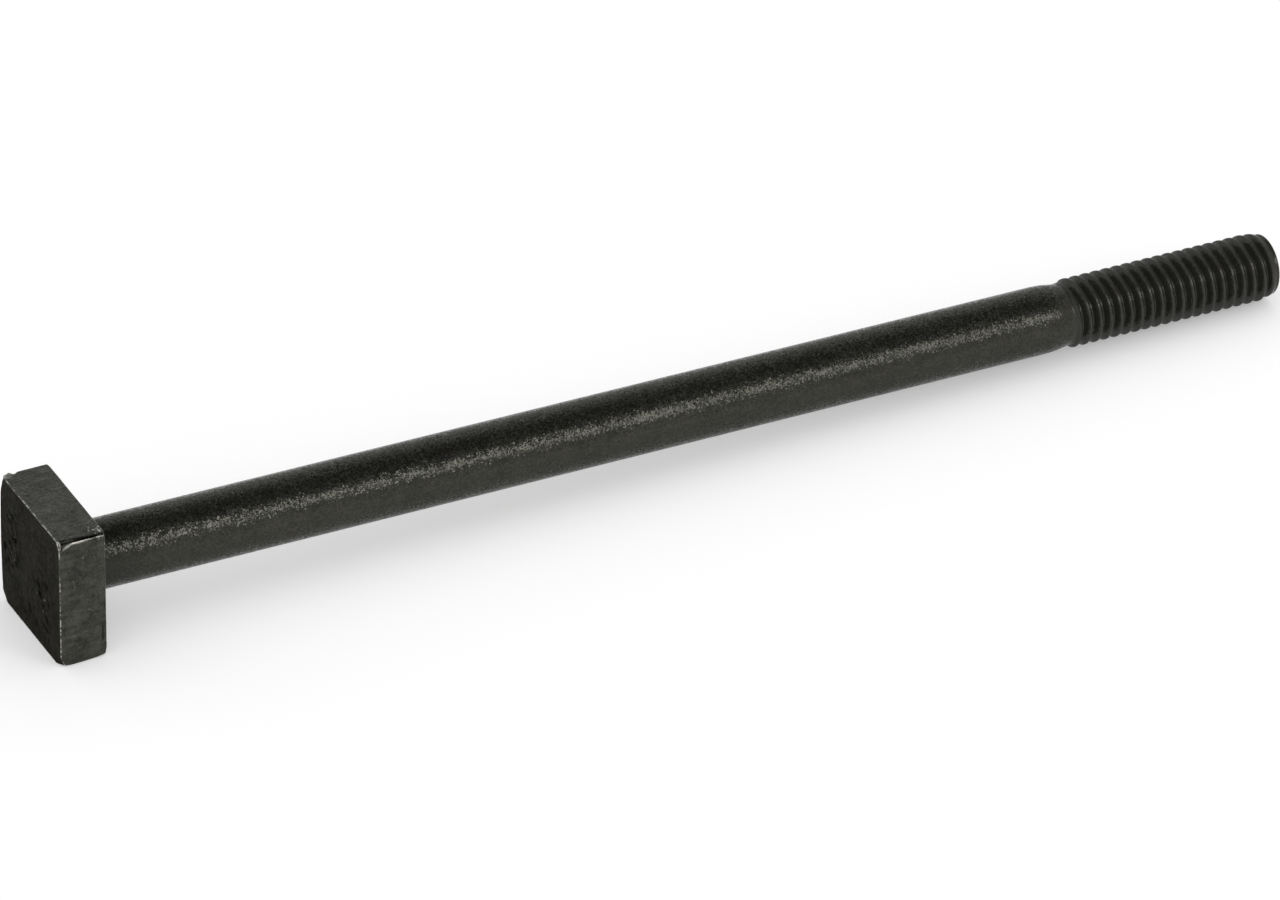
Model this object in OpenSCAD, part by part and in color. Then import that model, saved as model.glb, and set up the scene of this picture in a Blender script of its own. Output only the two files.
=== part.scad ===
// Square-head exhaust bolt, one solid. It lies along +X: the head's bearing face is at x = 0,
// the head is on the -X side and the thread's point is at the +X end. Millimetres.

/* [Head] */
// Side of the forged square head
head_side = 18.3; // [15:0.1:24]
// Thickness of the head
head_thick = 6.35; // [4:0.05:10]
// Rounding of three of the edges that run along the bolt
head_edge_r = 0.4; // [0.2:0.05:0.8]
// Fillet between the head and the shank
seat_fillet = 0.6; // [0.3:0.1:1]
// Width of the lap that forging left along the fourth edge, on each of its two sides
lap_w = 0.45; // [0.3:0.05:0.8]
// Depth of the lap, measured from each of the two sides
lap_depth = 0.5; // [0.4:0.05:0.9]

/* [Shank] */
// Length under the head
length = 175; // [90:1:260]
// Diameter of the plain shank
shank_d = 9.2; // [8.9:0.05:9.5]
// Length of the cone that leads down to the rolled thread
neck_len = 2.5; // [1:0.1:4]

/* [Thread] */
// Outside diameter of the rolled thread
thread_d = 9.45; // [9.25:0.01:9.5]
// Pitch, sixteen turns to the inch
pitch = 1.5875; // [1.25:0.0125:1.7]
// Length from the end of the cone to the point
thread_len = 31.75; // [16:0.25:50]
// Width of a crest where it meets the flanks
crest_w = 0.35; // [0.3:0.05:0.4]
// Width of a root
root_w = 0.15; // [0.1:0.05:0.3]
// Length of the chamfer at the point
point_len = 2.2; // [1:0.1:3]
// Diameter of the flat end at the point
point_d = 8.1; // [7.6:0.1:8.6]

/* [Hidden] */
$fn = 96;
eps = 0.01;
over = 0.3;

shank_r = shank_d / 2;
crest_r = thread_d / 2;

// The flanks of the thread stand at sixty degrees to each other.
flank = tan(30);
thread_depth = (pitch - crest_w - root_w) / 2 / flank;
root_r = crest_r - thread_depth;
// Rolling leaves the crests rounded: here a bevel on each side of a narrow land.
bevel_depth = 0.1;
bevel_w = 0.08;
gap_w = pitch - crest_w;

// The rod is drawn down to about the pitch diameter before the thread is rolled on it.
blank_r = crest_r - thread_depth / 2;
thread_x = length - thread_len;
plain_x = thread_x - neck_len;
point_x = length - point_len;
full_x = thread_x + 1.6 * pitch;
groove_x = thread_x + 1.1 * pitch;
groove_count = floor((length - groove_x) / pitch) + 1;

// A square with its four corners rounded.
module round_square(side, r) {
    square([side - 2 * r, side], center = true);
    square([side, side - 2 * r], center = true);
    for (sx = [-1, 1], sy = [-1, 1])
        translate([sx * (side / 2 - r), sy * (side / 2 - r)]) circle(r = r);
}

// Section of the head across the bolt, with the lap as a notch in one corner. The bolt's +Z is
// along -X of this section.
module head_section() {
    difference() {
        round_square(head_side, head_edge_r);
        translate([-head_side / 2, -head_side / 2]) polygon([
            [-over, -over],
            [lap_w, -over],
            [lap_w, 0],
            [lap_depth, lap_depth],
            [0, lap_w],
            [-over, lap_w]
        ]);
    }
}

module head() {
    rotate([0, 90, 0]) translate([0, 0, -head_thick])
        linear_extrude(height = head_thick) head_section();
}

// Half section of the shank, the neck and the full thread's outside. The radius is along X and
// the bolt's length is along Y.
module rod_section() {
    polygon([
        [0, -head_thick / 2],
        [shank_r, -head_thick / 2],
        [shank_r, plain_x],
        [blank_r, thread_x],
        [crest_r, full_x],
        [crest_r, point_x],
        [point_d / 2, length],
        [0, length]
    ]);
}

// One gap of the thread in the same half section, with the bevels of the crests beside it.
module gap_section() {
    bevel_y = gap_w / 2 - bevel_depth * flank;
    land_y = gap_w / 2 + bevel_w;
    over_y = land_y + over * (land_y - bevel_y) / bevel_depth;
    polygon([
        [root_r, -root_w / 2],
        [root_r, root_w / 2],
        [crest_r - bevel_depth, bevel_y],
        [crest_r, land_y],
        [crest_r + over, over_y],
        [crest_r + over, -over_y],
        [crest_r, -land_y],
        [crest_r - bevel_depth, -bevel_y]
    ]);
}

module seat_fillet_section() {
    difference() {
        translate([shank_r - eps, -eps]) square([seat_fillet + eps, seat_fillet + eps]);
        translate([shank_r + seat_fillet, seat_fillet]) circle(r = seat_fillet);
    }
}

// The grooves stand at the thread's pitch, each one square to the bolt.
module rod() {
    rotate([0, 90, 0]) rotate_extrude() {
        difference() {
            rod_section();
            for (k = [0 : groove_count - 1])
                translate([0, groove_x + k * pitch]) gap_section();
        }
        seat_fillet_section();
    }
}

module bolt() {
    color([0.17, 0.18, 0.17]) {
        head();
        rod();
    }
}

bolt();
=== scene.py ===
import math
import bpy
import numpy as np
from mathutils import Matrix, Vector, noise


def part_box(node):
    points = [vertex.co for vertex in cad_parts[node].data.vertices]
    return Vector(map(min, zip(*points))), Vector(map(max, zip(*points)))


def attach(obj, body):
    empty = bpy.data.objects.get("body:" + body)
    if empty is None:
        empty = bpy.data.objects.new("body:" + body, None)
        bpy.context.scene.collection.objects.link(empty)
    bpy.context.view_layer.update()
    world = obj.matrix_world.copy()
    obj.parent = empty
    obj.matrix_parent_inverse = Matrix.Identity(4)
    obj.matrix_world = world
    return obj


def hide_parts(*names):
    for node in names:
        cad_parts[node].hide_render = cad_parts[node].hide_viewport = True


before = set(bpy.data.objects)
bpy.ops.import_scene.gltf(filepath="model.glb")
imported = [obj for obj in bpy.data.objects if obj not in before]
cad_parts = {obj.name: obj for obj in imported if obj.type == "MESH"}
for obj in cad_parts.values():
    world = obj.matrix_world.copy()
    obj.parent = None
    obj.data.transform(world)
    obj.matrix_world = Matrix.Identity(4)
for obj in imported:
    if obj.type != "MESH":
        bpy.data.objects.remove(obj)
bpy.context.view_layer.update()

# ---- The forged head -------------------------------------------------------------------------
# A flat square head, forged from the end of the rod between dies. It is a little larger at its
# end face than at the seat, and the dies left some corners unfilled, a lap along one upper
# edge, a torn burr round the end face and scale pits in it. The seat is the plane x = 0.

# Sizes are in millimetres; MM turns them into the metres of the finished mesh.
MM = 0.001
low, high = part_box("bolt")
bolt_len = high.x / MM
CROWN = 0.12
front_x = low.x / MM - CROWN
head_thick = -front_x

# Corners across the bolt in (y, z): far lower, far upper, near upper, near lower.
FRONT_CORNERS = np.array([(9.1, -9.3), (9.05, 9.16), (-9.25, 9.0), (-9.2, -9.45)])
SEAT_CORNERS = np.array([(9.0, -9.1), (9.12, 9.24), (-8.93, 8.95), (-9.05, -9.22)])
EDGE_R = (0.5, 0.3, 0.9, 0.25)
# The far, top, near and bottom sides bulge, and lose some of it towards the seat.
BULGE, BULGE_LOSS = (0.42, 0.05, 0.05, 0.05), 0.6
HALF_WIDTH = 9.2
NEAR_SIDE_Y = -8.5

# Points along a side, all round and round a corner, counted from the far lower corner.
SIDE_COLUMNS = 100
COLUMNS = 4 * SIDE_COLUMNS
CORNER_COLUMNS, HALF_CORNER = 12, 6
SIDE_CROWDING = 0.6
LAP_COLUMN = 2 * SIDE_COLUMNS
START_ANGLE = -math.pi / 4


def eased(n, crowding):
    """n + 1 places from 0 to 1 that stand closer together near both ends."""
    t = np.linspace(0.0, 1.0, n + 1)
    return t - crowding * np.sin(2 * np.pi * t) / (2 * np.pi)


def lap_section(top_gap, side_gap, gape):
    """The lap in place of the near upper corner, as (inward, down) from the corner.

    top_gap and side_gap are where its two lips stand on the upper and the near side. Where it
    gapes it is a step in the near side with a narrow slot above it."""
    over = [(top_gap + 0.9, 0.0), (top_gap + 0.55, 0.0), (top_gap + 0.3, 0.0),
            (top_gap + 0.1, 0.01), (top_gap + 0.02, 0.05), (top_gap + 0.03, 0.12)]
    shut = [(0.6 * top_gap + 0.2, 0.22), (0.52, 0.32), (0.3, 0.3), (0.1, side_gap - 0.07)]
    agape = [(top_gap + 0.22, 0.2), (top_gap + 0.15, 0.4), (0.45, 0.5), (0.3, side_gap - 0.25)]
    inner = np.array(shut) * (1 - gape) + np.array(agape) * gape
    under = [(0.03, side_gap), (0.0, side_gap + 0.1), (0.0, side_gap + 0.45)]
    return np.vstack([over, inner, under])


# A chipped corner at the end face, and a thin fin just behind it, close the lap.
CUT_CORNER = np.array([(1.15, 0.0), (1.0, 0.0), (0.88, 0.0), (0.76, 0.01), (0.66, 0.14),
                       (0.55, 0.29), (0.44, 0.43), (0.33, 0.57), (0.22, 0.71), (0.11, 0.86),
                       (0.01, 1.0), (0.0, 1.15), (0.0, 1.35)])
FIN_CORNER = np.array([(1.1, 0.0), (0.9, 0.0), (0.7, 0.0), (0.5, 0.0), (0.35, 0.01),
                       (0.22, 0.04), (0.14, 0.1), (0.09, 0.2), (0.05, 0.36), (0.03, 0.55),
                       (0.01, 0.8), (0.0, 1.05), (0.0, 1.3)])
FIN, FIN_ROW = 0.28, 0.01
# The mouth's length, how fast it closes, and where the two lips stand behind it.
MOUTH, MOUTH_CLOSING = 1.9, 1.8
TOP_LIP, TOP_LIP_SLOPE = 0.78, 0.108
SIDE_LIP, SIDE_LIP_DROP = 0.36, 1.4
LIP_CHIP, LIP_CHIP_LEN = 0.3, 0.5


def lap_at(x):
    """The lap's section at x."""
    back = x - front_x
    if back < FIN - FIN_ROW:
        return CUT_CORNER
    if back < FIN + FIN_ROW:
        return FIN_CORNER
    gape = max(0.0, 1.0 - back / MOUTH) ** MOUTH_CLOSING
    chip = max(0.0, (back - head_thick + LIP_CHIP_LEN) / LIP_CHIP_LEN)
    return lap_section(TOP_LIP - TOP_LIP_SLOPE * back + LIP_CHIP * chip,
                       SIDE_LIP + SIDE_LIP_DROP * gape, min(1.0, 1.6 * gape))


def head_outline(x):
    """(y, z) points round the head, from the middle of its far lower corner."""
    t = min(1.0, max(0.0, (x - front_x) / head_thick))
    corners = FRONT_CORNERS * (1 - t) + SEAT_CORNERS * t
    signs = np.sign(corners)
    lap = corners[2] + lap_at(x) * (1, -1)
    points = []
    for k in range(4):
        here, there = k, (k + 1) % 4
        facing = math.pi / 2 * k
        out = np.array((math.cos(facing), math.sin(facing)))
        start = corners[here] - signs[here] * EDGE_R[here]
        end = corners[there] - signs[there] * EDGE_R[there]
        arcs = []
        for centre, radius, span in ((start, EDGE_R[here], range(-HALF_CORNER, 0)),
                                     (end, EDGE_R[there], range(1, HALF_CORNER))):
            a = facing + math.pi / 2 * np.array(span) / CORNER_COLUMNS
            arcs.append(centre + radius * np.column_stack([np.cos(a), np.sin(a)]))
        first, last = start + EDGE_R[here] * out, end + EDGE_R[there] * out
        if there == 2:
            last, arcs[1] = lap[0], lap[1:HALF_CORNER]
        if here == 2:
            arcs[0], first = lap[HALF_CORNER:CORNER_COLUMNS], lap[CORNER_COLUMNS]
        s = eased(SIDE_COLUMNS - CORNER_COLUMNS, SIDE_CROWDING)[:, None]
        bulge = BULGE[k] * (1 - BULGE_LOSS * t) * 4 * s * (1 - s)
        points += [arcs[0], first + (last - first) * s + bulge * out, arcs[1]]
    return np.vstack(points)


def circle_outline(count, radius):
    """(y, z) points round a circle, from the same angle as the head's."""
    a = START_ANGLE + 2 * np.pi * np.arange(count) / count
    return np.column_stack([radius * np.cos(a), radius * np.sin(a)])


def placed_at(x, outline):
    """The (x, y, z) points of an outline that stands at x."""
    return np.column_stack([np.broadcast_to(x, len(outline)), outline])


def wave(x, y, z, size):
    """Smooth noise between about -1 and 1 whose bumps are about size across.

    On a flat outline x only picks a slice of the noise, so that no two uses look alike."""
    return noise.noise(Vector((x, y, z)) / size)


# Unfilled corners: which corner, how far it falls short in x, y and z, and over what lengths.
UNFILLED = [((front_x, *FRONT_CORNERS[3]), (0.62, 0.12, 0.22), (1.7, 1.7, 1.9)),
            ((0.0, *SEAT_CORNERS[3]), (0.22, 0.08, 0.13), (1.7, 1.5, 1.4)),
            ((0.0, *SEAT_CORNERS[1]), (0.12, 0.0, 0.05), (1.2, 1.2, 1.2)),
            ((0.0, *SEAT_CORNERS[0]), (0.5, 0.3, 0.3), (1.8, 1.8, 1.8)),
            ((front_x, *FRONT_CORNERS[0]), (0.3, 0.1, 0.1), (1.5, 1.5, 1.5)),
            ((front_x, *FRONT_CORNERS[1]), (0.3, 0.3, 0.0), (1.6, 1.7, 2.6))]
# The far upper corner tore: lumps all over it, with one horn and one hollow behind that.
TORN_CORNER = np.array((front_x + 0.3, *FRONT_CORNERS[1]))
TORN_R, TORN_LUMPS, TORN_LUMP_SIZE = 1.0, 0.32, 0.6
HORN_AT = np.array((front_x + 1.0, *(FRONT_CORNERS[1] + (0.05, -0.05))))
HORN, HORN_R = 0.1, 0.45
HOLLOW_AT = HORN_AT + (0.65, 0.0, 0.1)
HOLLOW, HOLLOW_R = 0.35, 0.35
# Unevenness that the dies left in the sides: broad swells and fine lines along the bolt.
SWELL, SWELL_SIZE = 0.05, 4.0
LINES, LINES_SIZE, LINES_STRETCH = 0.014, 0.5, 0.15
NICK_X, NICK_TOP, NICK_BOTTOM = -0.5, -4.6, -7.0
NICK_DEPTH, NICK_WIDTH = 0.15, 0.12


def forged(points):
    """Moves the points of the plain head to where the dies left them."""
    points = np.array(points, float)
    moved = points.copy()
    for corner, short, span in UNFILLED:
        near = np.clip(1 - np.abs(points - corner) / span, 0, 1).prod(axis=1) ** 1.5
        outward = np.sign((-1 if corner[0] < 0 else 1, corner[1], corner[2]))
        moved -= near[:, None] * outward * short
    torn = np.exp(-(np.linalg.norm(points - TORN_CORNER, axis=1) / TORN_R) ** 2)
    horn = HORN * np.exp(-(np.linalg.norm(points - HORN_AT, axis=1) / HORN_R) ** 2)
    horn -= HOLLOW * np.exp(-(np.linalg.norm(points - HOLLOW_AT, axis=1) / HOLLOW_R) ** 2)
    for i, (x, y, z) in enumerate(points):
        length = math.hypot(y, z)
        edge = max(abs(y), abs(z)) / HALF_WIDTH
        rough = (SWELL * wave(x, y, z, SWELL_SIZE)
                 + LINES * wave(x * LINES_STRETCH, y, z, LINES_SIZE)) * edge ** 6
        rough += TORN_LUMPS * torn[i] * wave(x, y + 7, z, TORN_LUMP_SIZE) + horn[i]
        if y < NEAR_SIDE_Y and NICK_BOTTOM < z < NICK_TOP:
            rough -= NICK_DEPTH * math.exp(-((x - NICK_X) / NICK_WIDTH) ** 2)
        moved[i, 1:] *= 1 + rough / length
    return moved


class Skin:
    """A closed surface that is built up ring by ring along the bolt."""

    def __init__(self):
        self.points, self.faces, self.bare, self.end_faces = [], [], [], []
        self.count = 0
        self.last = None

    def add(self, points, bare=0.0):
        """Adds points and how bare their steel is, and gives their numbers. Below zero it says how much
        darker the oxide is: real oxide in the nick, painted shade in the pits and the painted shadow of
        the head.
        """
        first = self.count
        self.points.append(np.asarray(points, float))
        self.bare.append(np.broadcast_to(bare, len(points)).astype(float))
        self.count += len(points)
        return np.arange(first, self.count)

    def join(self, ring):
        """Joins the last ring to one with as many points, or with half as many."""
        last = self.last
        if len(last) == len(ring):
            self.faces += np.column_stack([last, np.roll(last, -1), np.roll(ring, -1), ring]).tolist()
        else:
            for k, here in enumerate(ring):
                near, mid, far = last[2 * k], last[2 * k + 1], last[(2 * k + 2) % len(last)]
                there = ring[(k + 1) % len(ring)]
                self.faces += [[near, mid, here], [mid, there, here], [mid, far, there]]
        self.last = ring

    def grow(self, points, bare=0.0):
        """Adds the next ring and joins it to the last one."""
        self.join(self.add(points, bare))

    def cap(self, outline, outward, place):
        """Fills the last ring with a square grid; place gives the points for a (y, z) grid."""
        ring = self.last
        n = len(ring) // 4
        loop = np.vstack([outline, outline[:1]])
        bottom, right = loop[0:n + 1], loop[n:2 * n + 1]
        top, left = loop[2 * n:3 * n + 1][::-1], loop[3 * n:4 * n + 1][::-1]
        u = np.linspace(0, 1, n + 1)[:, None, None]
        v = np.linspace(0, 1, n + 1)[None, :, None]
        across = (1 - v) * bottom[:, None] + v * top[:, None]
        along = (1 - u) * left[None] + u * right[None]
        corners = ((1 - u) * (1 - v) * bottom[0] + u * (1 - v) * bottom[-1]
                   + (1 - u) * v * top[0] + u * v * top[-1])
        grid = across + along - corners
        number = np.full((n + 1, n + 1), -1)
        number[:, 0], number[n, :] = ring[0:n + 1], ring[n:2 * n + 1]
        number[::-1, n] = ring[2 * n:3 * n + 1]
        number[0, ::-1] = np.append(ring[3 * n:], ring[0])
        points, bare = place(grid[1:n, 1:n].reshape(-1, 2))
        number[1:n, 1:n] = self.add(points, bare).reshape(n - 1, n - 1)
        quads = np.stack([number[:-1, :-1], number[1:, :-1], number[1:, 1:], number[:-1, 1:]], -1)
        quads = quads.reshape(-1, 4)
        if outward < 0:
            quads = quads[:, ::-1]
        first = len(self.faces)
        self.faces += quads.tolist()
        self.end_faces.append(range(first, len(self.faces)))


# Wear comes in broad patches and fine chips: how strong each is, and about how long.
WEAR_EVEN = 0.55
WEAR_PATCHES, WEAR_PATCH_SIZE = 0.9, 1.1
WEAR_CHIPS, WEAR_CHIP_SIZE = 1.1, 0.3
# The burr stands out in ragged lengths, furthest along the near side.
BURR, BURR_SIZE, BURR_EVEN = 0.08, 0.8, 0.3
BURR_SIDES = (0.3, 0.6, 1.0, 0.3)


def edge_wear(outline, strength, shares):
    """How bare each point of an edge is, with one share for each of the four sides."""
    bare = []
    for k, (y, z) in enumerate(outline):
        torn = (WEAR_EVEN + WEAR_PATCHES * wave(3.0, y, z, WEAR_PATCH_SIZE)
                + WEAR_CHIPS * wave(9.0, y, z, WEAR_CHIP_SIZE))
        bare.append(min(1.0, max(0.0, torn * shares[k // SIDE_COLUMNS] * strength)))
    return np.array(bare)


def burr(outline):
    """How far the burr stands out sideways along each point of the end face's edge."""
    proud = []
    for k, (y, z) in enumerate(outline):
        share = BURR_SIDES[k // SIDE_COLUMNS]
        proud.append(BURR * share * max(0.0, BURR_EVEN + wave(5.0, y, z, BURR_SIZE)))
    return np.array(proud)


# Patches of scale pits on the end face: middle and half widths in (y, z), and how crowded.
PATCHES = [((5.4, 1.8), (1.5, 3.6), 1.0), ((7.4, -0.8), (1.2, 2.2), 0.6),
           ((-3.8, -1.0), (2.0, 1.9), 0.9), ((-4.6, -4.5), (1.2, 2.5), 0.35),
           ((0.5, -6.0), (3.0, 1.4), 0.2)]
FACE_HALF_Y, FACE_HALF_Z = 9.1, 9.3
FACE_SWELL, FACE_SWELL_SIZE = 0.07, 5.0
FACE_RIPPLE, FACE_RIPPLE_SIZE = 0.03, 1.3
# Pits: their sizes, depth, rim height, and how strongly painted shade darkens them.
PIT_SIZE, SMALL_PIT_SIZE, PIT_DEPTH, PIT_RIM, PIT_SHADE = 1.1, 0.5, 0.7, 0.2, 5.0
SPECK_SIZE, SPECK_SHINE, SPECK_LIMIT = 0.4, 6.0, 0.6


def pitted(grid):
    """The end face: broad unevenness, and scale pits with raised rims crowded in patches, painted darker
    inside as painted shade.
    """
    points, bare = [], []
    for y, z in grid:
        crowd = sum(much * math.exp(-((y - py) / wy) ** 2 - ((z - pz) / wz) ** 2)
                    for (py, pz), (wy, wz), much in PATCHES)
        crowd = min(1.0, crowd)
        inside = 1 - max(abs(y) / FACE_HALF_Y, abs(z) / FACE_HALF_Z) ** 12
        pit = wave(11.0, y, z, PIT_SIZE) + 0.5 * wave(17.0, y, z, SMALL_PIT_SIZE)
        depth = (FACE_SWELL * wave(0.0, y, z, FACE_SWELL_SIZE)
                 + FACE_RIPPLE * wave(2.0, y, z, FACE_RIPPLE_SIZE))
        depth += crowd * (PIT_DEPTH * max(0.0, pit - 0.12) - PIT_RIM * max(0.0, -pit - 0.1))
        points.append((front_x + depth * inside, y, z))
        speck = crowd * max(0.0, wave(23.0, y, z, SPECK_SIZE) - 0.4) * SPECK_SHINE
        # The pits get painted shade: their oxide is painted darker.
        bare.append(speck - min(1.0, crowd * max(0.0, pit - 0.05) * PIT_SHADE))
    return forged(points), np.clip(bare, -1, SPECK_LIMIT)


# Scratches: both ends in (x, y, z), and how bare they are.
SCRATCHES = [((-1.78, -7.85, 9.05), (-1.29, -6.65, 9.1), 1.0),
             ((-3.2, -9.1, 6.1), (-2.4, -9.1, 7.0), 0.5),
             ((-1.6, -9.05, 6.4), (-1.4, -9.05, 5.2), 0.45),
             ((-4.6, -9.2, 3.1), (-4.2, -9.2, 1.6), 0.42),
             ((-3.9, 2.0, 9.1), (-2.6, 4.0, 9.15), 0.4),
             ((-2.6, -9.15, -1.6), (-1.9, -9.1, -2.0), 0.45),
             ((-5.2, -9.2, -5.3), (-2.6, -9.15, -4.8), 0.4),
             ((-5.4, -5.6, 9.0), (-4.9, -4.1, 9.0), 0.4)]
SCRATCH_WIDTH = 0.14
CHIPPED_CORNER = np.array((-0.4, -8.1, 8.95))
CHIPPED_R, CRUMB_SIZE = 1.0, 0.33


def scratched(points):
    """Bare steel along a few scratches and in crumbs at a chipped corner; oxide in the nick."""
    bare = np.zeros(len(points))
    for start, end, much in SCRATCHES:
        start, way = np.array(start), np.array(end) - start
        along = np.clip((points - start) @ way / (way @ way), 0, 1)
        away = np.linalg.norm(points - start - along[:, None] * way, axis=1)
        bare = np.maximum(bare, much * np.exp(-(away / SCRATCH_WIDTH) ** 2))
    near = np.exp(-(np.linalg.norm(points - CHIPPED_CORNER, axis=1) / CHIPPED_R) ** 2)
    for i in np.flatnonzero(near > 0.1):
        bare[i] = max(bare[i], near[i] * (0.35 + 2.6 * wave(*points[i], CRUMB_SIZE)))
    x, y, z = points.T
    nick = (y < NEAR_SIDE_Y) & (z > NICK_BOTTOM) & (z < NICK_TOP)
    return bare - nick * np.exp(-((x - NICK_X) / NICK_WIDTH) ** 2)


# How worn the far, top, near and bottom edges are, at the end face and at the seat.
FRONT_WEAR, FRONT_WEAR_SIDES = 1.15, (0.4, 1.0, 0.85, 0.35)
SEAT_WEAR, SEAT_WEAR_SIDES = 0.52, (0.6, 0.8, 1.0, 0.6)
# The near front edge below the fin kept its oxide, and is worn most just under that stretch.
NEAR_EDGE_Z = (0.3, 1.0, 3.6, 4.3, 6.7, 7.3)
NEAR_EDGE_SHARE = (1.0, 1.6, 1.7, 0.35, 0.35, 1.0)
# Bare steel round the torn corner: along the edge, on the sides, and how far it reaches.
TORN_EDGE_BARE, TORN_BARE, TORN_BARE_R = 1.2, 1.1, 1.1
# How bare the points across the lap are, times how bare its lip is that far from the end face.
LAP_BARE = np.array([0.0, 0.0, 0.0, 0.1, 0.3, 0.1, 0.0, 0.0, 0.1, 0.6, 1.0, 0.5, 0.0])
LIP_ALONG = (0.6, 1.2, 3.2, 4.2, 5.2, 5.6, 6.1)
LIP_SHINE = (0.5, 1.5, 1.35, 0.65, 0.6, 0.95, 0.7)
# The fin at the lap's end is bare at its tip and less so down the near side.
FIN_EDGE_BARE, FIN_BARE = np.linspace(1.1, 0.55, 9), np.linspace(1.0, 0.45, 8)
# The rounding of the end face's edge: (inwards, back) in shares of its size, and how bare.
FRONT_ROUND, SEAT_ROUND = 0.09, 0.15
FRONT_RINGS = ((1.6, 0.0, 0.0), (0.75, 0.0, 0.45), (0.2, 0.25, 1.0), (0.0, 1.0, 0.9))
BURR_LEAN = 0.4
RIM_ROW, RIM_ROW_BARE = 0.17, 0.3
SIDE_ROWS, ROW_CROWDING, FIN_CLEAR = 54, 0.45, 0.03

skin = Skin()
outline = head_outline(front_x)
proud = burr(outline)
wear = edge_wear(outline, FRONT_WEAR, FRONT_WEAR_SIDES)
wear[LAP_COLUMN - 4:LAP_COLUMN + 5] = FIN_EDGE_BARE
from_torn = np.linalg.norm(outline - FRONT_CORNERS[1], axis=1)
wear = np.maximum(wear, TORN_EDGE_BARE * np.exp(-(from_torn / TORN_BARE_R) ** 2))
near_share = np.interp(outline[:, 1], NEAR_EDGE_Z, NEAR_EDGE_SHARE)
wear *= np.where(outline[:, 0] < NEAR_SIDE_Y, near_share, 1.0)
radial = outline / np.linalg.norm(outline, axis=1)[:, None]
for inset, back, bare in FRONT_RINGS:
    shaped = outline + radial * (proud - FRONT_ROUND * inset)[:, None]
    x = np.full(COLUMNS, front_x + FRONT_ROUND * back) - BURR_LEAN * proud * (inset < 1)
    points = forged(placed_at(x, shaped))
    if skin.last is None:
        skin.last = skin.add(points, wear * bare)
        skin.cap(shaped, -1, pitted)
    else:
        skin.grow(points, wear * bare)
side_len = head_thick - FIN - FIN_CLEAR - SEAT_ROUND
side_rows = front_x + FIN + FIN_CLEAR + side_len * eased(SIDE_ROWS, ROW_CROWDING)
for x in [front_x + RIM_ROW, front_x + FIN, *side_rows]:
    back = x - front_x
    outline = head_outline(x)
    points = forged(placed_at(x, outline))
    lap = np.zeros(COLUMNS)
    shine = np.interp(back, LIP_ALONG, LIP_SHINE) * (0.85 + 0.5 * wave(x, 0, 0, 0.6))
    lap[LAP_COLUMN - HALF_CORNER:LAP_COLUMN + HALF_CORNER + 1] = LAP_BARE * shine
    if back < FIN + FIN_ROW:
        lap[LAP_COLUMN - 3:LAP_COLUMN + 5] = FIN_BARE
    rim = wear * (RIM_ROW_BARE if back < FIN - FIN_ROW else 0.0)
    from_torn = np.linalg.norm(points - TORN_CORNER, axis=1)
    torn = TORN_BARE * np.exp(-(from_torn / TORN_BARE_R) ** 2)
    marks = scratched(points)
    skin.grow(points, np.maximum.reduce([lap, rim, torn, marks]) + np.minimum(marks, 0))
seat_wear = edge_wear(outline, SEAT_WEAR, SEAT_WEAR_SIDES)
radial = outline / np.linalg.norm(outline, axis=1)[:, None]
for a in (25, 55, 90):
    turn = math.radians(a)
    seat_outline = outline - radial * (SEAT_ROUND * (1 - math.cos(turn)))
    x = -SEAT_ROUND * (1 - math.sin(turn))
    skin.grow(forged(placed_at(x, seat_outline)), seat_wear)
head_faces = len(skin.faces)


def node_of(tree, kind, **settings):
    """A new node of a tree, with its settings."""
    made = tree.nodes.new(kind)
    for name, value in settings.items():
        setattr(made, name, value)
    return made


def plug(tree, socket, value):
    """Links a socket to another one, or sets it to a number, a vector or a colour."""
    if isinstance(value, bpy.types.NodeSocket):
        tree.links.new(value, socket)
    else:
        socket.default_value = value


def calc(tree, operation, *values):
    """A Math node on sockets or numbers; gives its output socket."""
    made = node_of(tree, "ShaderNodeMath", operation=operation)
    for socket, value in zip(made.inputs, values):
        plug(tree, socket, value)
    return made.outputs[0]


def vector_calc(tree, operation, *values, scale=None):
    """A Vector Math node on sockets or vectors; gives its output socket."""
    made = node_of(tree, "ShaderNodeVectorMath", operation=operation)
    for socket, value in zip(made.inputs, values):
        plug(tree, socket, value)
    if scale is not None:
        plug(tree, made.inputs["Scale"], scale)
    return made.outputs[0]


def scaled(tree, value, a0, a1, b0, b1, kind="LINEAR", clamp=True):
    """A Map Range node from a0..a1 to b0..b1."""
    made = node_of(tree, "ShaderNodeMapRange", interpolation_type=kind, clamp=clamp)
    for socket, number in zip(made.inputs, (value, a0, a1, b0, b1)):
        plug(tree, socket, number)
    return made.outputs[0]


def mixed(tree, factor, a, b):
    """A Mix node between two colours."""
    made = node_of(tree, "ShaderNodeMix", data_type="RGBA")
    for name, value in (("Factor", factor), ("A", a), ("B", b)):
        plug(tree, made.inputs[name], value)
    return made.outputs["Result"]


BARE_STEEL = (0.42, 0.41, 0.37)
# Between these values of the bare attribute, oxide gives way to bare steel.
WORN_FROM, WORN_TO = 0.55, 1.15
CRYSTALS_PER_MM = 5.5
DRAWN_SQUEEZE = 0.12
ROUGHNESS_SPREAD = 0.06


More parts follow.
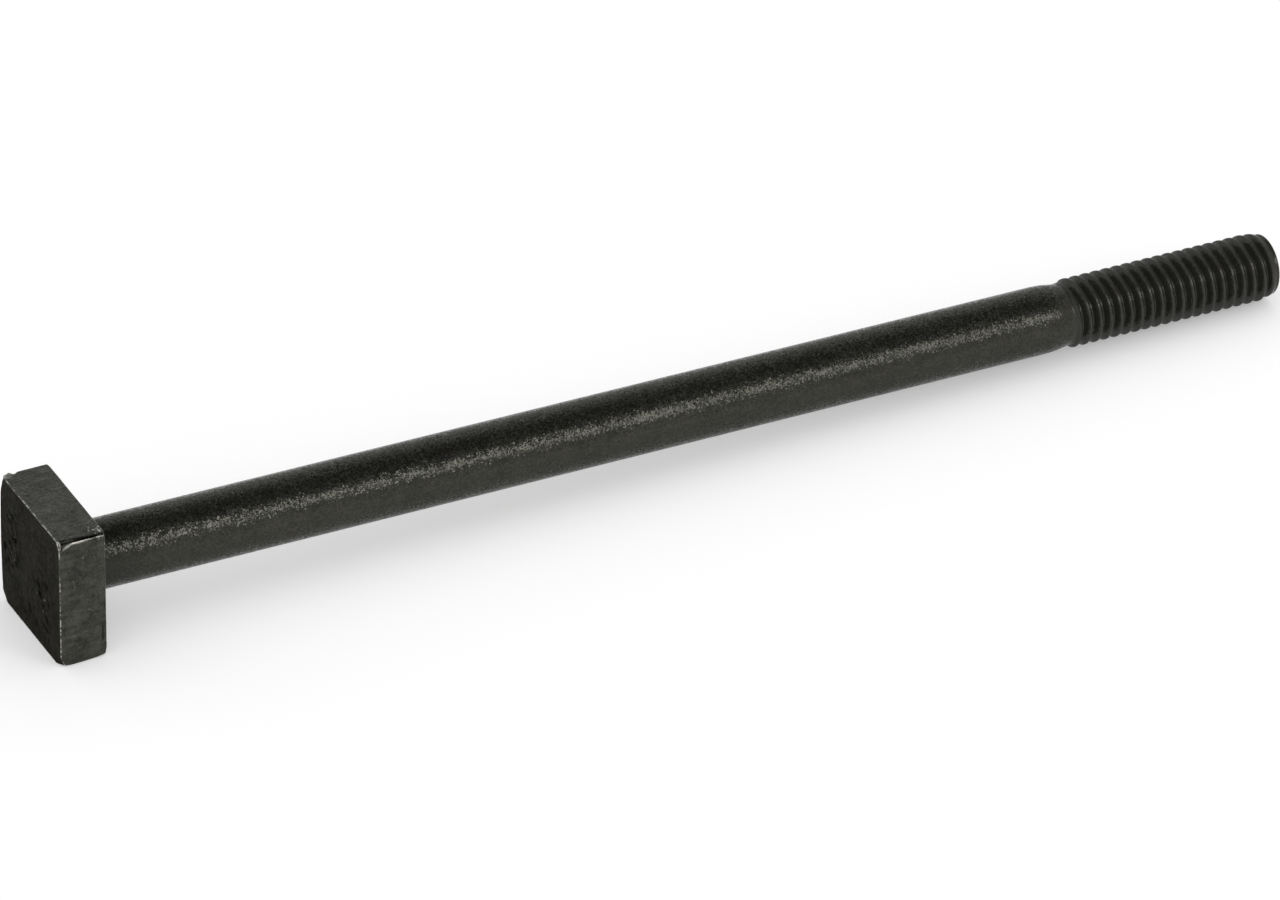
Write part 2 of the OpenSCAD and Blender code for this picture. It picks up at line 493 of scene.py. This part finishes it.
def steel(name, dark, light, metal, roughness, bump_mm, bump_scale, mottle, glint, ior, rim):
    """Blacked steel: two tones of oxide, fine crystals in the surface, and bare metal on wear.

    mottle is how soft the patches of tone are, glint how far the crystals tilt, and rim how
    much of the light that skims the surface it gives back."""
    material = bpy.data.materials.new(name)
    material.use_nodes = True
    tree = material.node_tree
    shader = tree.nodes["Principled BSDF"]
    shader.inputs["Metallic"].default_value = metal
    shader.inputs["IOR"].default_value = ior
    shader.inputs["Specular Tint"].default_value = (rim, rim, rim, 1)
    coords = node_of(tree, "ShaderNodeTexCoord")
    in_mm = vector_calc(tree, "SCALE", coords.outputs["Object"], scale=1 / MM)
    drawn = vector_calc(tree, "MULTIPLY", in_mm, (DRAWN_SQUEEZE, 1.0, 1.0))

    def grain(scale, detail=2.0, rough=0.5, vector=in_mm):
        made = node_of(tree, "ShaderNodeTexNoise")
        for key, value in (("Vector", vector), ("Scale", scale), ("Detail", detail),
                           ("Roughness", rough)):
            plug(tree, made.inputs[key], value)
        return made.outputs["Fac"]

    crystals = node_of(tree, "ShaderNodeTexVoronoi")
    plug(tree, crystals.inputs["Vector"], in_mm)
    plug(tree, crystals.inputs["Scale"], CRYSTALS_PER_MM)
    each = node_of(tree, "ShaderNodeSeparateXYZ")
    plug(tree, each.inputs[0], crystals.outputs["Color"])

    # The tone of the oxide: patches, streaks along the drawn rod, crystals, and darker where the bare
    # attribute is below zero: real oxide in the nick, painted shade in the pits and the painted shadow of
    # the head on the shank.
    tone = calc(tree, "ADD", calc(tree, "MULTIPLY", grain(0.35, 3.0, 0.6), 0.4),
                calc(tree, "MULTIPLY", grain(1.1, 3.0, 0.65), 0.35))
    tone = calc(tree, "ADD", tone, calc(tree, "MULTIPLY", grain(1.5, 3.0, 0.6, drawn), 0.25))
    tone = scaled(tree, tone, 0.5 - mottle, 0.5 + mottle, 0.0, 1.0)
    each_tone = scaled(tree, each.outputs["X"], 0.0, 1.0, -2 * glint, 2 * glint)
    tone = calc(tree, "ADD", tone, each_tone)
    wear_and_shade = node_of(tree, "ShaderNodeAttribute", attribute_name="bare").outputs["Fac"]
    oxide_and_painted_shade = calc(tree, "MINIMUM", wear_and_shade, 0.0)
    tone = calc(tree, "ADD", tone, calc(tree, "MULTIPLY", oxide_and_painted_shade, 1.5))
    oxide = mixed(tree, tone, (*dark, 1), (*light, 1))
    mask = calc(tree, "ADD", wear_and_shade, calc(tree, "MULTIPLY", grain(3.0), 0.5))
    mask = scaled(tree, mask, WORN_FROM, WORN_TO, 0.0, 1.0)
    plug(tree, shader.inputs["Base Color"], mixed(tree, mask, oxide, (*BARE_STEEL, 1)))
    plug(tree, shader.inputs["Roughness"],
         scaled(tree, grain(1.3, 3.0), 0.3, 0.7,
                roughness - ROUGHNESS_SPREAD, roughness + ROUGHNESS_SPREAD))

    # The surface: a fine bump, and each crystal tilted its own way.
    bump = node_of(tree, "ShaderNodeBump")
    plug(tree, bump.inputs["Strength"], 1.0)
    plug(tree, bump.inputs["Distance"], bump_mm * MM)
    plug(tree, bump.inputs["Height"], grain(bump_scale))
    tilt = vector_calc(tree, "SUBTRACT", crystals.outputs["Color"], (0.5, 0.5, 0.5))
    how_far = scaled(tree, grain(0.45, 2.0), 0.4, 0.62, 0.8 * glint, 1.3 * glint)
    tilt = vector_calc(tree, "SCALE", tilt, scale=how_far)
    facing = vector_calc(tree, "ADD", bump.outputs[0], tilt)
    plug(tree, shader.inputs["Normal"], vector_calc(tree, "NORMALIZE", facing))
    return material


# The sides of the head are smooth from the dies; its end face kept a dull forging scale.
forged_steel = steel("forged_steel", dark=(0.024, 0.025, 0.020), light=(0.068, 0.067, 0.056),
                     metal=0.85, roughness=0.28, bump_mm=0.05, bump_scale=2.6,
                     mottle=0.10, glint=0.12, ior=1.5, rim=1.0)
scaled_steel = steel("forging_scale", dark=(0.0045, 0.0044, 0.0033),
                     light=(0.0275, 0.0262, 0.0198), metal=0.0, roughness=0.5, bump_mm=0.06,
                     bump_scale=1.6, mottle=0.16, glint=0.1, ior=1.05, rim=1.0)

# ---- The shank -------------------------------------------------------------------------------
# The drawn rod itself: it leaves the seat through a small fillet and runs plain for most of
# the bolt's length. Where the thread will be it is drawn down over a short cone to the
# blank's diameter, which is about the thread's pitch diameter.

ROD_COLUMNS = COLUMNS // 4
SHANK_R = 4.6
SEAT_FILLET = 0.6
THREAD_LEN = 31.75
NECK_LEN = 2.5
SHOULDER = 1.2
# The blank lies midway between the thread's crests and roots.
CREST_R, ROOT_R = 4.65, 3.76
BLANK_R = (CREST_R + ROOT_R) / 2
thread_x = bolt_len - THREAD_LEN
neck_x = thread_x - NECK_LEN
# Painted shadow of the head on the shank: the oxide is painted darker over the first few millimetres and
# fades out further along.
HEAD_SHADOW_X, HEAD_SHADOW_TONE = (3.5, 7.5), (-0.45, 0.0)

root_circle = circle_outline(COLUMNS, SHANK_R + SEAT_FILLET)
for t in np.linspace(0, 1, 9)[1:]:
    skin.grow(forged(placed_at(0.0, seat_outline + (root_circle - seat_outline) * t)))
# The fillet and the first rod rings carry the painted shadow of the head at its darkest.
for a in (22, 45, 67, 90):
    turn = math.radians(a)
    x = SEAT_FILLET * (1 - math.cos(turn))
    radius = SHANK_R + SEAT_FILLET * (1 - math.sin(turn))
    skin.grow(placed_at(x, circle_outline(COLUMNS, radius)), HEAD_SHADOW_TONE[0])
for x, count in ((1.0, COLUMNS // 2), (1.6, ROD_COLUMNS)):
    skin.grow(placed_at(x, circle_outline(count, SHANK_R)), HEAD_SHADOW_TONE[0])


def neck_radius(x):
    """The shank's radius where it runs into the cone, with a soft shoulder between them."""
    t = (x - neck_x) / NECK_LEN
    cone = SHANK_R + (BLANK_R - SHANK_R) * t
    k = SHOULDER * (SHANK_R - BLANK_R) / NECK_LEN
    h = max(0.0, k - abs(SHANK_R - cone)) / k
    return min(SHANK_R, cone) - h * h * k / 4


# Rings stand far apart on the plain shank and close together on the neck. Near the head they carry the
# painted shadow of the head, which fades out along the shank.
plain = np.linspace(3.0, neck_x - 2.5, 40)
neck = np.linspace(neck_x - 2.0, thread_x - 0.25, 22)
for x in np.concatenate([plain, neck]):
    skin.grow(placed_at(x, circle_outline(ROD_COLUMNS, neck_radius(x))),
              np.interp(x, HEAD_SHADOW_X, HEAD_SHADOW_TONE))

# Hot black oxide over the drawn rod, whose crystals sparkle.
black_steel = steel("black_oxide_steel", dark=(0.032, 0.032, 0.027), light=(0.056, 0.055, 0.046),
                    metal=0.9, roughness=0.19, bump_mm=0.03, bump_scale=2.6,
                    mottle=0.2, glint=0.24, ior=1.5, rim=0.8)

# ---- The rolled thread -----------------------------------------------------------------------
# Twenty turns of right-hand thread, sixteen to the inch, rolled between flat dies. Rolling
# pushes the blank's steel up into narrow rounded crests, which rise within a turn of the neck
# and end in the chamfer of the point.

PITCH = 1.5875
CHAMFER_FROM = bolt_len - 2.2
POINT_R, POINT_STEP = 4.24, 0.025
POINT_ROUND, POINT_ROUND_IN = 0.25, 0.26
thread_end = bolt_len - POINT_ROUND
ROWS_PER_TURN, ROWS_TO_CREST = 20, 0.55
# The grid's lines are two turns longer than the thread, and start up to this much before it.
SPARE_TURNS, EARLY_TURNS = 2.0, 1.5
WELD = 0.002
rows = int(math.ceil(((thread_end - thread_x) / PITCH + SPARE_TURNS) * ROWS_PER_TURN)) + 1

# Rolling burnished the thread, so its oxide is even and its crystals hardly show.
rolled_steel = steel("rolled_steel", dark=(0.033, 0.033, 0.028), light=(0.047, 0.046, 0.039),
                     metal=0.5, roughness=0.2, bump_mm=0.03, bump_scale=3.2,
                     mottle=0.14, glint=0.12, ior=1.5, rim=0.55)

thread_sizes = {"Start": thread_x, "End": thread_end, "Pitch": PITCH, "Crest Radius": CREST_R,
                "Crest Width": 0.28, "Crest Round": 0.1, "Flank Slope": math.tan(math.radians(60)),
                "Root Radius": ROOT_R, "Root Round": 0.14, "Blank Radius": BLANK_R,
                "Full From": thread_x + 0.6 * PITCH, "Run Out": 1.1,
                "Chamfer From": CHAMFER_FROM, "Point Radius": POINT_R, "Phase": 144.53,
                "Columns": ROD_COLUMNS, "Rows": rows, "Steel": rolled_steel}
SOCKET_KINDS = {float: "NodeSocketFloat", int: "NodeSocketInt",
                bpy.types.Material: "NodeSocketMaterial"}

tree = bpy.data.node_groups.new("rolled_thread", "GeometryNodeTree")
inputs = {}
for name, value in thread_sizes.items():
    item = tree.interface.new_socket(name, in_out="INPUT", socket_type=SOCKET_KINDS[type(value)])
    inputs[name] = item.identifier
tree.interface.new_socket("Mesh", in_out="OUTPUT", socket_type="NodeSocketGeometry")
group_in = tree.nodes.new("NodeGroupInput")
group_out = tree.nodes.new("NodeGroupOutput")
given = {s.name: s for s in group_in.outputs if s.name}

grid = node_of(tree, "GeometryNodeMeshGrid")
plug(tree, grid.inputs["Vertices X"], given["Rows"])
plug(tree, grid.inputs["Vertices Y"], calc(tree, "ADD", given["Columns"], 1))
where = node_of(tree, "ShaderNodeSeparateXYZ")
plug(tree, where.inputs[0], node_of(tree, "GeometryNodeInputPosition").outputs[0])
along = calc(tree, "ADD", where.outputs["X"], 0.5)
around = calc(tree, "ADD", where.outputs["Y"], 0.5)

# Each line of the grid follows the helix, and the lines stand closer together on the crest.
reach = calc(tree, "ADD", calc(tree, "SUBTRACT", given["End"], given["Start"]),
             calc(tree, "MULTIPLY", given["Pitch"], SPARE_TURNS))
lead = calc(tree, "MULTIPLY", calc(tree, "SUBTRACT", around, EARLY_TURNS), given["Pitch"])
even = calc(tree, "ADD", given["Start"], calc(tree, "MULTIPLY_ADD", along, reach, lead))
turn = calc(tree, "DIVIDE", calc(tree, "SUBTRACT", even, given["Phase"]), given["Pitch"])
turn = calc(tree, "SUBTRACT", turn, around)
pull = calc(tree, "SINE", calc(tree, "MULTIPLY", turn, 2 * math.pi))
pull = calc(tree, "MULTIPLY", pull, ROWS_TO_CREST / (2 * math.pi))
turn = calc(tree, "ADD", calc(tree, "SUBTRACT", turn, pull), around)
place = calc(tree, "MULTIPLY_ADD", turn, given["Pitch"], given["Phase"])
place = calc(tree, "MAXIMUM", given["Start"], calc(tree, "MINIMUM", given["End"], place))

# How far each point is from the middle of the crest, and the profile that follows from it.
turn = calc(tree, "DIVIDE", calc(tree, "SUBTRACT", place, given["Phase"]), given["Pitch"])
turn = calc(tree, "ADD", calc(tree, "SUBTRACT", turn, around), 0.5)
from_crest = calc(tree, "ABSOLUTE", calc(tree, "SUBTRACT", calc(tree, "FRACT", turn), 0.5))
from_crest = calc(tree, "MULTIPLY", from_crest, given["Pitch"])
half_crest = calc(tree, "MULTIPLY", given["Crest Width"], 0.5)
past_crest = calc(tree, "SUBTRACT", from_crest, half_crest)
flank = calc(tree, "SUBTRACT", given["Crest Radius"],
             calc(tree, "MULTIPLY", past_crest, given["Flank Slope"]))
rolled = calc(tree, "SMOOTH_MIN", flank, given["Crest Radius"], given["Crest Round"])
rolled = calc(tree, "SMOOTH_MAX", rolled, given["Root Radius"], given["Root Round"])

# The thread grows out of the neck, dies away at the point and is cut by the chamfer.
grown = scaled(tree, place, given["Start"], given["Full From"], 0.0, 1.0, "SMOOTHSTEP")
dying = calc(tree, "SUBTRACT", given["End"], given["Run Out"])
gone = scaled(tree, place, dying, given["End"], 1.0, 0.0, "SMOOTHSTEP")
grown = calc(tree, "MULTIPLY", grown, gone)
extra = calc(tree, "MULTIPLY", calc(tree, "SUBTRACT", rolled, given["Blank Radius"]), grown)
radius = calc(tree, "ADD", given["Blank Radius"], extra)
chamfer = scaled(tree, place, given["Chamfer From"], given["End"], given["Crest Radius"],
                 given["Point Radius"], clamp=False)
radius = calc(tree, "SMOOTH_MIN", radius, chamfer, given["Crest Round"])
angle = calc(tree, "MULTIPLY_ADD", around, 2 * math.pi, START_ANGLE)
spot = node_of(tree, "ShaderNodeCombineXYZ")
plug(tree, spot.inputs["X"], place)
plug(tree, spot.inputs["Y"], calc(tree, "MULTIPLY", radius, calc(tree, "COSINE", angle)))
plug(tree, spot.inputs["Z"], calc(tree, "MULTIPLY", radius, calc(tree, "SINE", angle)))

# The grid is bent round, turned outside out, welded along its seam and given its steel.
made = grid.outputs["Mesh"]
for kind, settings in (("GeometryNodeSetPosition", {"Position": spot.outputs[0]}),
                       ("GeometryNodeFlipFaces", {}),
                       ("GeometryNodeMergeByDistance", {"Distance": WELD}),
                       ("GeometryNodeRealizeInstances", {}),
                       ("GeometryNodeSetMaterial", {"Material": given["Steel"]})):
    step = node_of(tree, kind)
    plug(tree, step.inputs[0], made)
    for name, value in settings.items():
        plug(tree, step.inputs[name], value)
    made = step.outputs[0]
plug(tree, group_out.inputs[0], made)

carrier = bpy.data.objects.new("thread_maker", bpy.data.meshes.new("thread_maker"))
bpy.context.scene.collection.objects.link(carrier)
maker = carrier.modifiers.new("thread", "NODES")
maker.node_group = tree
for name, value in thread_sizes.items():
    maker[inputs[name]] = value
made = carrier.evaluated_get(bpy.context.evaluated_depsgraph_get())
thread_mesh = bpy.data.meshes.new_from_object(made)
carrier.modifiers.clear()
bpy.data.objects.remove(carrier)

points = np.empty(len(thread_mesh.vertices) * 3)
thread_mesh.vertices.foreach_get("co", points)
points = points.reshape(-1, 3)
numbers = skin.add(points)
thread_faces = len(skin.faces)
skin.faces += [[int(numbers[v]) for v in p.vertices] for p in thread_mesh.polygons]


def open_ring(x):
    """The numbers of the thread's own ring at x, in the order of every other ring."""
    found = np.flatnonzero(np.abs(points[:, 0] - x) < WELD / 2)
    a_little = 0.01
    turn = np.arctan2(points[found, 2], points[found, 1]) - START_ANGLE + a_little
    return numbers[found[np.argsort(turn % (2 * np.pi))]]


skin.join(open_ring(thread_x))
skin.last = open_ring(thread_end)
for a in np.linspace(0, math.pi / 2, 8)[1:]:
    x = bolt_len - POINT_ROUND * (1 - math.sin(a))
    point_outline = circle_outline(ROD_COLUMNS, POINT_R - POINT_STEP - POINT_ROUND_IN * (1 - math.cos(a)))
    skin.grow(placed_at(x, point_outline))
skin.cap(point_outline, 1, lambda grid: (placed_at(bolt_len, grid), 0.0))

# ---- The bolt in one piece -------------------------------------------------------------------
# Head, shank and thread are one piece of steel, so their surface is one closed mesh.
# After rolling it was blacked in a hot oxide bath and oiled.

EDGE_ANGLE = math.radians(38)
bolt_mesh = bpy.data.meshes.new("bolt_visual")
bolt_mesh.from_pydata((np.vstack(skin.points) * MM).tolist(), [], skin.faces)
bolt_mesh.validate()
# The bare attribute: how bare the steel is, and below zero how much darker its oxide is, from real oxide
# in the nick, painted shade in the pits and the painted shadow of the head.
bare = bolt_mesh.attributes.new("bare", "FLOAT", "POINT")
bare.data.foreach_set("value", np.concatenate(skin.bare))
bolt_mesh.shade_smooth()
bolt_mesh.set_sharp_from_angle(angle=EDGE_ANGLE)
for material in (black_steel, forged_steel, scaled_steel, rolled_steel):
    bolt_mesh.materials.append(material)
slots = np.zeros(len(skin.faces), int)
slots[:head_faces] = 1
slots[skin.end_faces[0]] = 2
slots[thread_faces:] = 3
bolt_mesh.polygons.foreach_set("material_index", slots)
bolt = bpy.data.objects.new("bolt_visual", bolt_mesh)
bpy.context.scene.collection.objects.link(bolt)
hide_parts("bolt")
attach(bolt, "root")

# ---- The studio ------------------------------------------------------------------------------
# The bolt lies on a pale table, tipped by a degree and a half, because it rests on the lower
# edge of its head and on the end of its thread. A soft lamp stands before it.

front_low = min(v.co.z for v in bolt_mesh.vertices if v.co.x < -head_thick * MM / 2)
rest_tilt = math.atan2(-front_low / MM - CREST_R, CHAMFER_FROM - front_x)
table_turn = Matrix.Rotation(-rest_tilt, 4, "Y")
table_up = table_turn @ Vector((0, 0, 1))
touch = min((v.co for v in bolt_mesh.vertices), key=table_up.dot).copy()

AIM = Vector((0.07666, -0.00698, 0.00005))
CAMERA_AZIMUTH, CAMERA_ELEVATION = math.radians(-27.706), math.radians(31.434)
CAMERA_DISTANCE = 1.0958
CAMERA_ROLL = math.radians(-1.293)
LENS = 237.16


def towards(azimuth, elevation):
    """The direction from the bolt at an azimuth and height in its own frame."""
    return Vector((math.sin(azimuth) * math.cos(elevation),
                   -math.cos(azimuth) * math.cos(elevation), math.sin(elevation)))


camera = bpy.data.objects.new("camera", bpy.data.cameras.new("camera"))
bpy.context.scene.collection.objects.link(camera)
back = towards(CAMERA_AZIMUTH, CAMERA_ELEVATION)
right = Vector((0, 0, 1)).cross(back).normalized()
true_up = back.cross(right)
turned = Matrix((right, true_up, back)).transposed().to_4x4()
camera.matrix_world = (Matrix.Translation(AIM + back * CAMERA_DISTANCE) @ turned
                       @ Matrix.Rotation(-CAMERA_ROLL, 4, "Z"))
camera.data.sensor_width = 36
camera.data.lens = LENS
camera.data.clip_start, camera.data.clip_end = 0.05, 20
bpy.context.scene.camera = camera

# The table has some white of its own, which only the camera and reflections see.
TABLE_HALF = 3.0
TABLE_TONE, TABLE_OWN_WHITE = 0.8, 0.29
table = bpy.data.meshes.new("table")
table_corners = [table_turn @ Vector((x, y, 0)) * TABLE_HALF + touch
                 for x, y in ((-1, -1), (1, -1), (1, 1), (-1, 1))]
table.from_pydata(table_corners, [], [(0, 1, 2, 3)])
floor = bpy.data.objects.new("table", table)
bpy.context.scene.collection.objects.link(floor)
white = bpy.data.materials.new("pale_table")
white.use_nodes = True
tree = white.node_tree
shader = tree.nodes["Principled BSDF"]
shader.inputs["Base Color"].default_value = (TABLE_TONE, TABLE_TONE, TABLE_TONE, 1)
shader.inputs["Roughness"].default_value = 0.9
shader.inputs["Specular IOR Level"].default_value = 0.0
path = node_of(tree, "ShaderNodeLightPath")
seen = calc(tree, "MAXIMUM", path.outputs["Is Camera Ray"], path.outputs["Is Glossy Ray"])
seen = calc(tree, "MAXIMUM", seen, path.outputs["Is Transmission Ray"])
shader.inputs["Emission Color"].default_value = (1, 1, 1, 1)
plug(tree, shader.inputs["Emission Strength"], calc(tree, "MULTIPLY", seen, TABLE_OWN_WHITE))
table.materials.append(white)

# The room: white to the camera, even light on the bolt, and in its reflections a bright band
# between the horizon (0) and the dark zenith (1).
ROOM_LIGHT = (0.85, 0.85, 0.85, 1)
REFLECTED = ((0.0, 0.7), (0.2, 0.75), (0.5, 0.88), (0.75, 0.5), (0.92, 0.13), (1.0, 0.08))
world = bpy.data.worlds.new("studio")
bpy.context.scene.world = world
world.use_nodes = True
tree = world.node_tree
path = node_of(tree, "ShaderNodeLightPath")
coords = node_of(tree, "ShaderNodeTexCoord")
split = node_of(tree, "ShaderNodeSeparateXYZ")
plug(tree, split.inputs[0], coords.outputs["Generated"])
height = node_of(tree, "ShaderNodeValToRGB")
plug(tree, height.inputs[0], split.outputs["Z"])
stops = height.color_ramp.elements
for spot, level in REFLECTED[1:-1]:
    stops.new(spot)
for stop, (spot, level) in zip(stops, REFLECTED):
    stop.position, stop.color = spot, (level, level, level, 1)
room = mixed(tree, path.outputs["Is Glossy Ray"], ROOM_LIGHT, height.outputs["Color"])
room = mixed(tree, path.outputs["Is Camera Ray"], room, (1, 1, 1, 1))
plug(tree, tree.nodes["Background"].inputs["Color"], room)


def lamp(name, azimuth, elevation, distance, size, radiance):
    """A soft square lamp that faces the bolt."""
    light = bpy.data.lights.new(name, "AREA")
    light.size = size
    light.energy = radiance * math.pi * size * size
    made = bpy.data.objects.new(name, light)
    out = towards(math.radians(azimuth), math.radians(elevation))
    made.location = AIM + out * distance
    made.rotation_mode = "QUATERNION"
    made.rotation_quaternion = out.to_track_quat("Z", "Y")
    bpy.context.scene.collection.objects.link(made)


lamp("front_lamp", azimuth=29, elevation=34, distance=1.3, size=0.4, radiance=4.1)

bpy.context.scene.view_settings.view_transform = "Standard"
